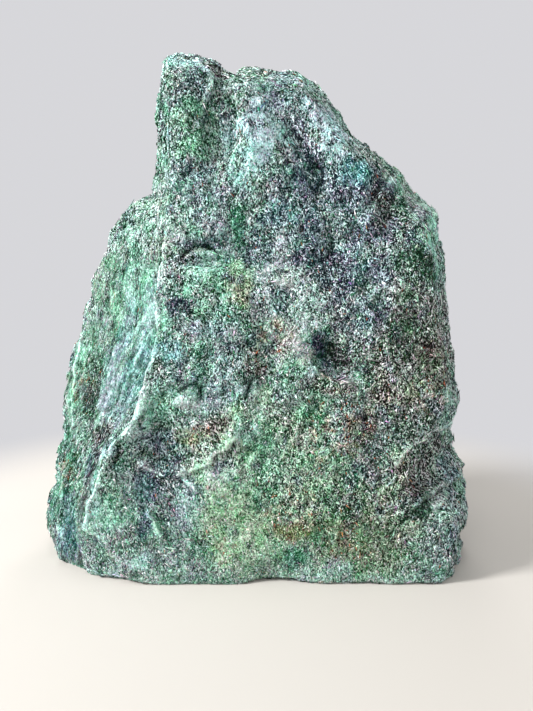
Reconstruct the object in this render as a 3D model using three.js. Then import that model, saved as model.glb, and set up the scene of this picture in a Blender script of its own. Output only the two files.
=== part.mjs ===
// A raw fuchsite specimen: one upright slab of green chromium mica schist, broken from the rock and
// standing on its flat foot. It is one solid, because the stone formed as one piece.
//
// Millimetres, +Z up. The origin is at the bottom, in the middle of the stone's box. X runs along the
// slab, and Y through it, from the front face at -Y to the back face at +Y.
//
// The mica sheets lie parallel to the front face, so the stone is described the way it splits: by its
// outline at the front face, at mid depth and at the back face, by how far the two faces lean, and by
// the facets, hollows and swells that breaking and weathering left. A tapered block of small squares
// is then carved to that shape: each corner slides along its own line, and the lines fan out from a
// flat core inside the stone.
import * as THREE from "three";
import { ImprovedNoise } from "three/addons/math/ImprovedNoise.js";

// Driving sizes: the height, the thickness at the foot, and how far each face leans in towards the
// top, per millimetre of height.
const HEIGHT = 177;
const THICKNESS = 62;
const FRONT_LEAN = 0.085;
const BACK_LEAN = 0.1;

// The three outlines as seen from the front, as [x, z], clockwise from the foot's left end. They run
// on below the foot, which is cut off flat at z = 0.

// At mid depth, the widest one: shoulder and tower on the left, notch and long slope on the right.
const MIDDLE_OUTLINE = [
  [-70, -8], [-78, 1], [-80.5, 12], [-77, 25], [-71.5, 44], [-70, 63], [-68, 73.5], [-62.5, 88],
  [-55, 110.5], [-50.5, 120.5], [-43.5, 128.3], [-35.5, 130.5], [-34, 140], [-34.5, 153], [-33, 168],
  [-30, 175.5], [-18, 176], [-9, 171.5], [-4, 172.5], [8, 172.5], [18, 168.5], [25.5, 159.5],
  [33, 151.5], [44, 144.5], [53.5, 134], [63.5, 123.5], [66.5, 113], [68.5, 92], [72, 67], [74, 56],
  [71, 48.5], [72.5, 39], [77.5, 24], [79, 12], [78.5, 0], [71, -8],
];

// At the front face: on the left the long ridge beside the flank, at the top the lip of the notch.
const FRONT_OUTLINE = [
  [-50, -8], [-58, 0], [-57, 12], [-53, 29], [-43.5, 49], [-36, 65], [-31, 80], [-28, 96],
  [-28, 126], [-31, 148], [-30, 160], [-25, 166], [-17, 165], [-11, 160], [3, 159.5], [15, 160],
  [22, 152], [30, 140], [40, 132], [52, 121], [57, 110], [59, 90], [62, 68], [62, 56], [58, 48],
  [60, 36], [65.5, 20], [66, 4], [60, -8],
];

// At the back face.
const BACK_OUTLINE = [
  [-56, -8], [-62, 2], [-64, 22], [-57, 60], [-49, 90], [-38, 112], [-29, 122], [-26, 146],
  [-22, 163], [-8, 167], [6, 168], [17, 161], [26, 147], [41, 134], [52, 118], [58, 92],
  [62, 58], [65, 24], [61, 2], [53, -8],
];

// Flat facets where corners broke off. The stone lies behind each: "at" is a point of the facet, and
// "faces" is the direction that it looks in.
const FACETS = [
  { at: [-49, -26, 0], faces: [-0.42, -1, -0.13] }, // front of the foot's left end
  { at: [71, -20, 0], faces: [1, -0.8, -0.35] }, // front of the foot's right end
  { at: [56, 20, 118], faces: [0.55, 1, 0.5] }, // upper right corner of the back
  { at: [-66, 24, 40], faces: [-1, 1.1, 0.15] }, // left corner of the back
  { at: [68, 27, 30], faces: [1, 1, -0.1] }, // lower right corner of the back
  { at: [-20, 14, 160], faces: [-0.5, 1, 0.45] }, // back of the tower
];

// Hollows (depth above 0) and swells (depth below 0) of the surface. Each fades out at the rim of an
// ellipsoid: its middle, its half sizes along X, Y and Z, and its turn about Y, in degrees,
// anticlockwise as seen from the front.
const DENTS = [
  // front face, from the top down
  { at: [-11.5, -19, 146], size: [6, 12, 26], turn: -3, depth: 3.4 }, // groove down the tower
  { at: [-22, -18, 146], size: [10, 12, 30], turn: 0, depth: -1.6 }, // column left of it
  { at: [0, -19, 142], size: [11, 12, 28], turn: 8, depth: -2.4 }, // column right of it
  { at: [17, -19, 136], size: [7, 12, 24], turn: 32, depth: 2.8 }, // slanting valley
  { at: [31, -18, 143], size: [12, 12, 13], turn: 40, depth: -1.4 }, // swell under the slope
  { at: [42, -20, 126], size: [8, 12, 15], turn: 14, depth: 2.4 }, // valley near the right edge
  { at: [55, -22, 112], size: [9, 12, 16], turn: 8, depth: -1 }, // swell right of it
  { at: [26, -22, 106], size: [11, 12, 18], turn: 0, depth: 1.8 }, // shallow hollow
  { at: [-8, -22, 110], size: [18, 12, 8], turn: 12, depth: 1.8 }, // hollow below the tower
  { at: [-14, -24, 94], size: [18, 12, 17], turn: 0, depth: -2.2 }, // dome below it
  { at: [-33, -23, 88], size: [5, 12, 20], turn: 0, depth: 1.4 }, // groove left of the dome
  { at: [2, -25, 72], size: [9, 12, 16], turn: -10, depth: 1.4 }, // groove right of the dome
  { at: [26, -24, 75], size: [12, 12, 12], turn: 10, depth: 2.6 }, // broken-out pit in the middle
  { at: [46, -24, 84], size: [15, 12, 22], turn: 8, depth: -1.6 }, // swell right of it
  { at: [-31, -28, 40], size: [17, 12, 16], turn: 28, depth: 3.4 }, // hollow beside the ridge
  { at: [-14, -29, 28], size: [18, 12, 16], turn: 0, depth: -1.8 }, // swell below it
  { at: [18, -29, 28], size: [26, 12, 22], turn: 0, depth: -1.8 }, // swell above the foot
  { at: [5, -31, 0], size: [16, 12, 10], turn: 0, depth: 3 }, // arch in the foot's front edge
  // right edge
  { at: [61, -24, 40], size: [17, 14, 22], turn: -36, depth: 7 }, // scoop
  { at: [73, -20, 22], size: [12, 12, 15], turn: -36, depth: -2 }, // knob under it
  // left flank
  { at: [-64, -16, 48], size: [9, 14, 34], turn: -16, depth: 3 }, // gully between rib and ridge
  { at: [-44, -22, 92], size: [9, 12, 30], turn: -18, depth: 2 }, // gully higher up
  { at: [-82, 14, 2], size: [14, 26, 14], turn: 0, depth: 5 }, // undercut end of the foot
  // top
  { at: [4, -8, 170], size: [13, 12, 9], turn: 0, depth: 3.5 }, // saddle between lip and back rim
  // back face
  { at: [18, 22, 92], size: [30, 12, 20], turn: -30, depth: 4.5 }, // sheet broken away
  { at: [-30, 26, 70], size: [18, 12, 36], turn: -14, depth: 3.5 }, // long hollow
  { at: [36, 28, 42], size: [24, 12, 15], turn: 24, depth: 4 }, // hollow low down
  { at: [-8, 29, 30], size: [28, 12, 20], turn: 10, depth: -2.5 }, // swell above the foot
];

// Unevenness of the whole surface: coarse and fine swells, and ribs where the sheets come out at the
// broken edge, every RIB_SPACING through the stone. The ribs wander from front to back as they run,
// by up to "reach" over about "length", along one slice of the noise.
const SWELLS = [
  { length: 36, height: 1.5 },
  { length: 14, height: 0.9 },
];
const RIB_SPACING = 11;
const RIB_HEIGHT = 0.7;
const RIB_WANDER = { reach: 5, length: 34, slice: 3.5 };

// How softly faces, facets and the broken edge meet, and how softly the edge turns at mid depth.
const ROUNDING = 3.5;
const MIDDLE_ROUNDING = 9;

// The outline goes on changing past a face, up to this share of the way to it.
const OUTLINE_OVERRUN = 1.1;

// Corners lower than this lie on the flat foot.
const FOOT_SNAP = 0.01;

// The block that is carved, whose edges lie close to the stone's own: at the foot, the shoulder, the
// tower and the top, its height and then x at the left, x at the right and y for its front, middle
// and back.
const BLOCK = [
  { z: 0, front: [-57, 66, -30.2], middle: [-76, 77, 0], back: [-59, 62, 30.2] },
  { z: 118, front: [-28, 55, -20.5], middle: [-51, 66, 0], back: [-32, 52, 19] },
  { z: 150, front: [-31, 23, -18], middle: [-35, 35, 0], back: [-26, 26, 15.5] },
  { z: 177, front: [-29, 14, -16], middle: [-33, 20, 0], back: [-23, 13, 13] },
];
const SQUARES = [36, 14, 38];
const OUTLINE_STEPS = 160;

// The flat core: its middle, and its size as a share of the block's. The corners slide from the core,
// at 0, through the block, at 1, and no further than MOST_GROWTH.
const HEART = new THREE.Vector3(-2, 0, 76);
const CORE_SHARE = new THREE.Vector3(0.8, 0, 0.8);
const MOST_GROWTH = 3;
const CARVING_STEPS = 24;

const noise = new ImprovedNoise();
const { clamp, degToRad, lerp } = THREE.MathUtils;

// A closed smooth line through [x, z] points, as vectors that hold z in their y.
function smoothOutline(points) {
  const corners = points.map(([x, z]) => new THREE.Vector3(x, z, 0));
  return new THREE.CatmullRomCurve3(corners, true, "centripetal").getPoints(OUTLINE_STEPS);
}

const middleOutline = smoothOutline(MIDDLE_OUTLINE);
const frontOutline = smoothOutline(FRONT_OUTLINE);
const backOutline = smoothOutline(BACK_OUTLINE);

// Distance from an outline, below 0 inside it.
function outlineDistance(outline, x, z) {
  let nearest = Infinity;
  let inside = false;
  for (let i = 1; i < outline.length; i += 1) {
    const a = outline[i - 1];
    const b = outline[i];
    const runX = b.x - a.x;
    const runZ = b.y - a.y;
    const along = clamp(((x - a.x) * runX + (z - a.y) * runZ) / (runX ** 2 + runZ ** 2), 0, 1);
    nearest = Math.min(nearest, Math.hypot(x - a.x - runX * along, z - a.y - runZ * along));
    const crosses = a.y > z !== b.y > z && x < a.x + ((z - a.y) / runZ) * runX;
    inside = crosses ? !inside : inside;
  }
  return inside ? -nearest : nearest;
}

// The larger of two distances, rounded where they meet.
function roundedMax(a, b) {
  const near = Math.max(ROUNDING - Math.abs(a - b), 0) / ROUNDING;
  return Math.max(a, b) + (near * near * ROUNDING) / 4;
}

// Distance from the broken edge, whose outline changes from mid depth to either face.
function edgeDistance(p, frontY, backY) {
  const [outline, faceY] = p.y < 0 ? [frontOutline, frontY] : [backOutline, backY];
  const fromMiddle = (y) => Math.hypot(y, MIDDLE_ROUNDING) - MIDDLE_ROUNDING;
  const share = Math.min(fromMiddle(p.y) / fromMiddle(faceY), OUTLINE_OVERRUN);
  return lerp(outlineDistance(middleOutline, p.x, p.z), outlineDistance(outline, p.x, p.z), share);
}

function dentDepth({ at, size, turn, depth }, p) {
  const offset = p.clone().sub(new THREE.Vector3(...at));
  offset.applyAxisAngle(new THREE.Vector3(0, 1, 0), degToRad(turn));
  const fade = Math.max(1 - offset.divide(new THREE.Vector3(...size)).lengthSq(), 0);
  return depth * fade * fade;
}

function unevenness(p) {
  const swells = SWELLS.map(
    ({ length, height }) => height * noise.noise(p.x / length, p.y / length, p.z / length),
  );
  const { reach, length: run, slice } = RIB_WANDER;
  const depth = p.y + reach * noise.noise(p.x / run, slice, p.z / run);
  const rib = RIB_HEIGHT * Math.sin((depth / RIB_SPACING) * 2 * Math.PI);
  return swells.reduce((sum, swell) => sum + swell, rib);
}

// Below 0 inside the stone and 0 on its surface.
function stoneField(p) {
  const frontY = FRONT_LEAN * p.z - THICKNESS / 2;
  const backY = THICKNESS / 2 - BACK_LEAN * p.z;
  let field = roundedMax(frontY - p.y, p.y - backY);
  field = roundedMax(field, edgeDistance(p, frontY, backY));
  for (const { at, faces } of FACETS) {
    const outward = new THREE.Vector3(...faces).normalize();
    field = roundedMax(field, outward.dot(p.clone().sub(new THREE.Vector3(...at))));
  }
  field += DENTS.reduce((sum, dent) => sum + dentDepth(dent, p), unevenness(p));
  return Math.max(field, -p.z);
}

// Where a corner of the block, sliding along its line, meets the stone's surface.
function carve(corner) {
  const slide = (growth) => {
    const share = CORE_SHARE.clone().lerp(new THREE.Vector3(1, 1, 1), growth);
    return corner.clone().sub(HEART).multiply(share).add(HEART);
  };
  let inside = 0;
  let outside = MOST_GROWTH;
  for (let step = 0; step < CARVING_STEPS; step += 1) {
    const middle = (inside + outside) / 2;
    [inside, outside] = stoneField(slide(middle)) < 0 ? [middle, outside] : [inside, middle];
  }
  const found = slide(inside);
  return found.z < FOOT_SNAP ? found.setZ(0) : found;
}

// A point of the tapered block: across and through run from -1 to 1, and rise from 0 to 1.
function blockPoint(across, through, rise) {
  const z = rise * HEIGHT;
  const above = BLOCK.slice(1).find((level) => level.z >= z);
  const below = BLOCK[BLOCK.indexOf(above) - 1];
  const share = (z - below.z) / (above.z - below.z);
  const face = through < 0 ? "front" : "back";
  const [left, right, y] = [0, 1, 2].map((i) => {
    const middle = lerp(below.middle[i], above.middle[i], share);
    return lerp(middle, lerp(below[face][i], above[face][i], share), Math.abs(through));
  });
  return new THREE.Vector3(lerp(left, right, (across + 1) / 2), y, z);
}

// The carved block, moved so that the origin is in the middle of the bottom of its box.
function stoneGeometry() {
  const geometry = new THREE.BoxGeometry(2, 2, 1, ...SQUARES);
  const position = geometry.getAttribute("position");
  for (let i = 0; i < position.count; i += 1) {
    const corner = blockPoint(position.getX(i), position.getY(i), position.getZ(i) + 0.5);
    const carved = carve(corner);
    position.setXYZ(i, carved.x, carved.y, carved.z);
  }
  const box = new THREE.Box3().setFromBufferAttribute(position);
  const middle = box.getCenter(new THREE.Vector3());
  geometry.translate(-middle.x, -middle.y, 0);
  geometry.computeVertexNormals();
  return geometry;
}

const fuchsite = new THREE.MeshStandardMaterial({ color: 0x6f9484, roughness: 0.5, metalness: 0 });

const stone = new THREE.Mesh(stoneGeometry(), fuchsite);
stone.name = "fuchsite";

const specimen = new THREE.Group();
specimen.name = "raw_fuchsite";
specimen.add(stone);

export default specimen;
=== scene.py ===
"""Looks for a raw fuchsite specimen: a free-standing slab of green mica schist.

The CAD stone is remeshed finely and broken up the way the rock splits: into thin sheets that lie
parallel to the front face. On the flanks the sheets end in ribs and steps, and on the two faces
they leave low ledges. Loose-edged mica flakes, half sunk in the stone, cover it all over.

Lengths in this file are in millimetres and angles in degrees unless they say otherwise. X runs
along the slab from left to right, Y through it from the front face to the back, and Z up.
"""

import itertools
import math

import bmesh
import bpy
import numpy as np
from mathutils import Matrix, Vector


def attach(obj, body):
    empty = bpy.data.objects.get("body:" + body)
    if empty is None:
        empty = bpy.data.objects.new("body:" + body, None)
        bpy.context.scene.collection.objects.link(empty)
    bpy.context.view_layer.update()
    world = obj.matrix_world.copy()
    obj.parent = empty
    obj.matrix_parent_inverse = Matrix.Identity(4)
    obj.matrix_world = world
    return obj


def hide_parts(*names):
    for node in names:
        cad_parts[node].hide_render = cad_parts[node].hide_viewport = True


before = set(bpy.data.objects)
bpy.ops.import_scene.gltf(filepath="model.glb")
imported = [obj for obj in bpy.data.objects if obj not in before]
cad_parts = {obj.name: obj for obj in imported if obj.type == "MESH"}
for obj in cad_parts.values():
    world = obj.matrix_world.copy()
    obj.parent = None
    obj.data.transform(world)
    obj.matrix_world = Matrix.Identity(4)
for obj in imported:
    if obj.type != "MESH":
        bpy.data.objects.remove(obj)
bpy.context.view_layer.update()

MM = 0.001
NODE = "fuchsite"
BODY = "root"
SEED = 7

# Added where a value may be 0: to a length in mm, and to a part of a direction.
TINY = 1e-6
SMALLEST = 1e-9

# Lean of the front face, which is also the lean of the sheets through the stone, and the stone's
# thickness at its foot.
FRONT_LEAN = 0.085
THICKNESS = 62


# ---------------------------------------------------------------- noise


# The twelve directions from a cube's middle to the middles of its edges.
GRADIENTS = np.array(list(itertools.product((-1, 0, 1), repeat=3)), float)
GRADIENTS = GRADIENTS[np.abs(GRADIENTS).sum(1) == 2]

# What brings the noise to about -1 to 1, and what keeps its grid off the stone's middle.
NOISE_GAIN = 1.4
NOISE_SHIFT = 31.7

# How far small plates stand above each other, how much they tilt, and the shift of their grid.
PLATE_STEP = 1.1
PLATE_TILT = 2.2
PLATE_SHIFT = 17.3

# Places multiplied by these give noise that is longer upright, or longer through the stone.
TALL = (1, 1, 0.7)
TALLISH = (1, 1, 0.8)
DEEP_THROUGH = (1, 0.3, 1)


def scrambled(cells, seed):
    """A large whole number for each cell of a grid, the same on every run."""
    mixed = cells[:, 0] * 73856093 ^ cells[:, 1] * 19349663 ^ cells[:, 2] * 83492791
    mixed = (mixed ^ (seed * 40503 + 12345)) & 0x7FFFFFFF
    mixed = (mixed ^ (mixed >> 13)) * 1274126177 & 0x7FFFFFFF
    mixed = (mixed ^ (mixed >> 16)) * 668265263 & 0x7FFFFFFF
    return mixed ^ (mixed >> 15)


def noise(points, length, seed):
    """Smooth noise from about -1 to 1, whose swells are about one length across.

    Each use of it has a seed of its own, so that no two patterns are alike.
    """
    places = points / length + NOISE_SHIFT
    cells = np.floor(places).astype(np.int64)
    inside = places - cells
    fade = inside**3 * (inside * (inside * 6 - 15) + 10)
    total = np.zeros(len(points))
    for corner in itertools.product((0, 1), repeat=3):
        toward = GRADIENTS[scrambled(cells + corner, seed + SEED) % len(GRADIENTS)]
        share = np.prod(np.where(corner, fade, 1 - fade), axis=1)
        total += share * np.einsum("ij,ij->i", toward, inside - corner)
    return total * NOISE_GAIN


def fractal(points, length, octaves, seed):
    """Noise with finer and finer swells added, each half as long and half as high."""
    return sum(noise(points, length / 2**k, seed + k) / 2**k for k in range(octaves))


def plates(points, size, seed):
    """Small tilted plates with steps between them, from about -1 to 1: a height for each point."""
    places = points / size + PLATE_SHIFT
    home = np.floor(places).astype(np.int64)
    nearest = np.full(len(points), np.inf)
    height = np.zeros(len(points))
    for neighbour in itertools.product((-1, 0, 1), repeat=3):
        cell = home + neighbour
        random = [scrambled(cell, seed + SEED + k) % 4096 / 4095 for k in range(5)]
        off = places - cell - np.stack(random[:3], 1)
        away = np.einsum("ij,ij->i", off, off)
        tilt = off[:, 0] * (random[3] - 0.5) + off[:, 2] * (random[4] - 0.5)
        own = PLATE_STEP * (random[1] - 0.5) + PLATE_TILT * tilt
        height = np.where(away < nearest, own, height)
        nearest = np.minimum(away, nearest)
    return height


def layer_values(layers, seed):
    """A fixed random value from -1 to 1 for each whole layer number."""
    whole = np.floor(layers).astype(np.int64)
    cells = np.stack([whole, whole * 0 + 5, whole * 0 + 9], 1)
    return scrambled(cells, seed + SEED) % 2001 / 1000 - 1


def smoothstep(low, high, value):
    """0 below the low value, 1 above the high one, and a smooth rise between them."""
    share = np.clip((value - low) / (high - low), 0, 1)
    return share * share * (3 - 2 * share)


# ---------------------------------------------------------------- the smooth stone


# The remeshed stone. CAD corners nearer than WELD are joined first. Its own corners are pulled
# towards their neighbours and pushed back in turn, and those under FOOT_RIM stay on the floor.
WELD = 0.01
VOXEL = 0.68
STONE_TRIANGLES = 196_000
PULL_AND_PUSH = (0.6, -0.5)
SMOOTHING_ROUNDS = 4
FOOT_RIM = 0.35


def read(items, name, width=1, kind=float):
    """One property of all items of a mesh, with a row for each item."""
    values = np.empty(len(items) * width, kind)
    items.foreach_get(name, values)
    return values.reshape(-1, width) if width > 1 else values


def mesh_arrays(mesh):
    """Corner places in mm, corner normals, and the ends of each edge."""
    places = read(mesh.vertices, "co", 3) / MM
    return places, read(mesh.vertices, "normal", 3), read(mesh.edges, "vertices", 2, np.int32)


def write_places(mesh, places):
    """Moves the mesh's corners to these places in mm."""
    mesh.vertices.foreach_set("co", (places * MM).astype(np.float32).ravel())
    mesh.update()


def neighbour_mean(values, edges):
    """The mean of the values at each corner's neighbours."""
    ends = np.concatenate([edges[:, 0], edges[:, 1]])
    others = np.concatenate([edges[:, 1], edges[:, 0]])
    count = np.bincount(ends, minlength=len(values))[:, None]
    flat = values.reshape(len(values), -1)
    sums = [np.bincount(ends, flat[others, k], len(values)) for k in range(flat.shape[1])]
    return (np.stack(sums, 1) / count).reshape(values.shape)


def baked_copy(source, kind, settings):
    """A new mesh: the source mesh with one modifier applied."""
    work = bpy.data.objects.new("work", source)
    bpy.context.scene.collection.objects.link(work)
    modifier = work.modifiers.new(kind, kind)
    for key, value in settings.items():
        setattr(modifier, key, value)
    evaluated = work.evaluated_get(bpy.context.evaluated_depsgraph_get())
    mesh = bpy.data.meshes.new_from_object(evaluated)
    bpy.data.objects.remove(work)
    return mesh


def smooth_stone():
    """The CAD stone as an even, fine mesh without its flat CAD triangles."""
    welded = bmesh.new()
    welded.from_mesh(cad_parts[NODE].data)
    bmesh.ops.remove_doubles(welded, verts=welded.verts, dist=WELD * MM)
    source = bpy.data.meshes.new("cad_copy")
    welded.to_mesh(source)
    welded.free()
    even = {"mode": "VOXEL", "voxel_size": VOXEL * MM, "use_smooth_shade": True}
    mesh = baked_copy(source, "REMESH", even)
    bpy.data.meshes.remove(source)
    places, _, edges = mesh_arrays(mesh)
    foot = places[:, 2] < FOOT_RIM
    for pull in PULL_AND_PUSH * SMOOTHING_ROUNDS:
        moved = places + pull * (neighbour_mean(places, edges) - places)
        moved[foot, 2] = 0
        places = moved
    write_places(mesh, places)
    return mesh


# ---------------------------------------------------------------- relief


# Lines of relief seen from the front. Each row is how far the line stands out, or in below 0; its
# half width; its run; and its path, as [x, z]. With a run above 0 the ground on the line's left
# side, going from its first point to its last, falls away over that distance, and drops at once on
# the right side.
CREST = [
    (-27.5, 112), (-27.5, 107), (-29.5, 98), (-30.5, 88), (-30, 82), (-31.5, 74), (-35.5, 60.5),
    (-38.5, 54), (-43.5, 47), (-47, 40.5), (-49.5, 34), (-53, 27), (-54.5, 20), (-56, 12), (-58, 4)]
LINES = [
    (1.8, 0.6, 3, CREST),
    # ribs of the flank
    (0.8, 0.5, 3, [(-30, 94), (-34.5, 89.5), (-38, 84), (-40, 78.5), (-40.5, 72), (-44, 64)]),
    (0.6, 0.45, 0, [(-32.5, 82.5), (-36.5, 75.5), (-39, 69.5), (-42, 62), (-46, 54)]),
    (0.7, 0.5, 2.5, [(-43, 78), (-46.5, 76.5), (-46, 69), (-47.5, 62), (-51.5, 53)]),
    (0.6, 0.45, 0, [(-50.5, 60), (-54, 52.5), (-55, 45), (-57, 37)]),
    (0.5, 0.45, 0, [(-33, 63), (-39, 51), (-43, 45)]),
    # dark cleft beside the crest
    (-1.6, 0.9, 0, [(-42.5, 46.5), (-43.5, 43), (-45.5, 38.5)]),
    # ribs at the outer side of the flank
    (0.7, 0.6, 0, [(-60, 64.5), (-61, 60), (-60, 52)]),
    (2.0, 0.9, 4, [
        (-60.5, 80), (-61.5, 77), (-63, 70), (-63.5, 56), (-64, 46), (-66, 31), (-66.5, 23)]),
    (0.9, 0.7, 0, [(-59.5, 22), (-65, 15.5), (-67.5, 11), (-69, 5.5)]),
    # foot of the flank
    (0.9, 0.9, 5, [(-55.5, 17.5), (-49, 14), (-46.5, 9.5), (-42.5, 4.5)]),
    # open crack above the dome, and the cracks beside and below it
    (-2.1, 0.8, 0, [
        (-22.5, 106.5), (-21.5, 108), (-18, 110), (-15, 110), (-12.5, 109), (-11, 107)]),
    (-0.9, 1.1, 0, [
        (-24.5, 105), (-23.5, 101), (-24.5, 95.5), (-22.5, 91), (-18, 87.5), (-14.5, 86.5)]),
    (-1.3, 0.4, 0, [(-23.5, 64), (-21, 65), (-16.5, 65), (-17, 61)]),
    (-1.5, 0.6, 0, [(0.5, 67.5), (-0.5, 66), (-2, 61)]),
    # two pale crossing ridges and the green vein at the lower left
    (1.4, 0.7, 3, [(-37, 39.5), (-30.5, 36), (-24, 35.5), (-15.5, 40), (-9, 45), (-5.5, 49)]),
    (1.0, 0.7, 0, [(-30.5, 47), (-24, 37), (-18.5, 31.5)]),
    (1.2, 0.8, 0, [(-34, 24), (-32, 18.5), (-30, 15.5)]),
    # diagonal ridges across the scoop at the right
    (1.8, 0.6, 2.5, [(45.5, 40), (48, 43.5), (52, 47), (58, 49.5), (64, 50), (69.5, 52.5)]),
    (2.2, 0.6, 2.5, [(47, 32), (49.5, 37), (53.5, 40.5), (63, 47), (69, 49.5)]),
    (1.9, 0.7, 3, [(52, 25), (56.5, 27.5), (62, 29.5), (67.5, 30.5), (73.5, 31)]),
    (0.8, 0.6, 0, [(58.5, 25.5), (66, 27), (76, 26)]),
    # step below the pit
    (2.0, 0.7, 4, [(33.5, 64), (30, 66), (27.5, 65), (25.5, 66), (21.5, 68), (19, 71)]),
    # facet edge near the top right, and the crack beside it
    (1.8, 0.8, 5, [(45.5, 131.5), (38, 122), (36, 116), (35.5, 111)]),
    (-1.4, 0.5, 0, [(48, 129.5), (45, 124.5)]),
    # lip of the notch, and the edge of the hump's facet
    (1.0, 0.7, 3, [(1.5, 160), (-2, 160), (-7, 160.5), (-13, 160)]),
    (1.4, 0.8, 0, [(-18, 171), (-15, 166), (-13.5, 162), (-15, 157)]),
    # grooves of the tower
    (-1.1, 1.8, 0, [(-8, 158), (-7, 154), (-7.5, 148.5), (-8.5, 142)]),
    (-1.5, 1.6, 0, [(11.5, 148.5), (15, 144), (19.5, 138), (22.5, 132), (21, 128)]),
    # short cracks of the upper middle
    (-1.2, 0.6, 0, [(11.5, 128.5), (12, 126), (10.5, 123.5)]),
    (-1.2, 0.6, 0, [(25.5, 113), (26.5, 107)]),
    # inner edge of the slope at the top right
    (1.4, 0.8, 3, [(62.5, 122), (52.5, 128.5), (46, 134.5), (39.5, 141)]),
]

# The crest dies out downwards between these heights.
CREST_FADE = (6, 36)

# A line at least this high is drawn in full, with a bare edge of this half width.
FULL_LINE = 1.6
EDGE_WIDTH = 0.5

# How far lines and plates wander from side to side, and over what length.
LINE_WANDER = {"reach": 0.8, "length": 5}

# The silky left flank begins behind the crest, between these depths, and ends upwards between
# these heights.
FLANK_START = (-0.5, 3.0)
FLANK_TOP = (120, 105)

# Fine ribs of the flank: how far apart and how high. They are long along the crest, bend a little
# and have flat valleys between sharp tops.
RIBS = [
    {"apart": 3.0, "height": 0.30},
    {"apart": 1.2, "height": 0.22},
]
RIB_STRETCH = 0.10
RIB_BEND = {"reach": 0.4, "length": 7}
RIB_SLOPE = 2.8
RIB_VALLEY = -0.7

# The surface cuts across the sheets where it faces the front or the back less than the first of
# these, and follows a sheet where it does so more than the second. 1 is squarely.
FACE_TURN = (0.72, 0.955)

# Layers of mica, coarse to fine: their thickness, how far their broken ends stand in or out at the
# flanks, and over what length an end does so.
SHEETS = [
    {"thick": 7.5, "reach": 2.0, "wander": 26},
    {"thick": 3.4, "reach": 1.15, "wander": 16},
    {"thick": 1.7, "reach": 0.45, "wander": 9},
]

# Parts of that reach: the sheet's own, the swing along its end, the steps in that, and the slope
# across the end. The steps are shorter than the swing.
SHEET_OWN = 0.4
SHEET_SWING = 0.45
SHEET_STEPS = 0.5
SHEET_SLOPE = 0.9
STEP_LENGTH = 0.6

# The sheets wave gently this far, over this length. Each also wanders by a share of its thickness,
# and swings by a part of the noise up to this far from the others'.
SHEET_WAVES = {"height": 3.2, "length": 48}
SHEET_BEND = 0.35
SHEET_SPREAD = 60

# How far the broken edge lies inside the CAD stone's, so that what stands out stays in its box.
EDGE_TRIM = 1.1

# Places on the outline where the flank stands out, or in below 0: x, z, the radius and by how much.
SWELLS = [
    (-28, 174, 4, 1.9), (-18, 175, 4, -1.1), (-8, 171, 3.5, -1.7), (3, 172, 7, 0.7),
    (24, 165, 4, -0.4), (28, 157, 5, 0.3), (33, 150, 4, -1.0), (43, 142, 5, -1.9),
    (55, 129, 5, -2.6), (61, 123, 4, -0.3), (64, 112, 5, -2.0), (67, 103, 4, 0.9),
    (70, 94, 6, 1.0), (70, 64, 7, -1.0), (70, 52, 4, -2.9), (75, 30, 5, 0.5), (78, 10, 8, -3.6),
    (-34, 149, 6, -0.8), (-35, 133, 7, 1.2), (-48, 119, 6, 1.0), (-58, 100, 9, 1.8),
    (-63, 88, 7, 1.0), (-65, 77, 4, 0.3), (-68, 65, 4, -1.3), (-72, 52, 9, 1.6),
    (-73, 37, 5, 1.0), (-78, 26, 4, -2.2), (-80, 17, 4, -1.0), (-79, 9, 5, 1.2),
]

# Ledges left on the faces where a sheet has come away: the height of each, and the size of the
# areas between them. They are steps in this swell, this much higher on the back, and an edge takes
# up this share of a step.
LEDGES = [
    {"step": 1.1, "length": 34},
    {"step": 0.55, "length": 13},
]
LEDGE_SWELL = 1.9
BACK_LEDGES = 1.3
LEDGE_EDGE = 0.28

# Roughness of the broken surface, coarse to fine: rounded lumps, and small tilted plates.
LUMPS = [
    {"length": 17, "height": 0.5},
    {"length": 6, "height": 0.18},
    {"length": 2, "height": 0.16},
]
PLATES = [
    {"size": 9.0, "height": 0.28},
    {"size": 4.2, "height": 0.20},
    {"size": 2.2, "height": 0.22},
]
LUMP_STRETCH = (1, 1, 0.75)

# How much lower the plates are where the surface cuts across the sheets, and how much less there
# is of other things on the silky flank. Raised and lines there are the painted highlight and shade
# of the relief and of the lines.
EDGE_PLATES_LESS = 0.6
LESS_ON_FLANK = {
    "sheets": 0.75, "lumps": 0.5, "mottle": 0.6, "raised": 0.4, "lines": 0.07, "contrast": 0.53}


def distance_to(path, x, z):
    """Distance of each point from a path, and which side of it the point is on: left is above 0."""
    nearest = np.full(len(x), np.inf)
    side = np.zeros(len(x))
    for (ax, az), (bx, bz) in itertools.pairwise(path):
        run_x, run_z = bx - ax, bz - az
        along = ((x - ax) * run_x + (z - az) * run_z) / (run_x**2 + run_z**2)
        along = np.clip(along, 0, 1)
        off_x, off_z = x - ax - run_x * along, z - az - run_z * along
        away = np.hypot(off_x, off_z)
        closer = away < nearest
        nearest = np.where(closer, away, nearest)
        side = np.where(closer, run_x * off_z - run_z * off_x, side)
    return nearest, side


def warp(places):
    """The places, moved a little from side to side, so that straight lines run unevenly."""
    reach, length = LINE_WANDER["reach"], LINE_WANDER["length"]
    return places + reach * np.stack([noise(places, length, 60 + k) for k in range(3)], 1)


def front_share(normals, low=0.05, high=0.3):
    """1 where the surface faces the front, and 0 where it faces a side or the back."""
    return smoothstep(low, high, -normals[:, 1])


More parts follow.
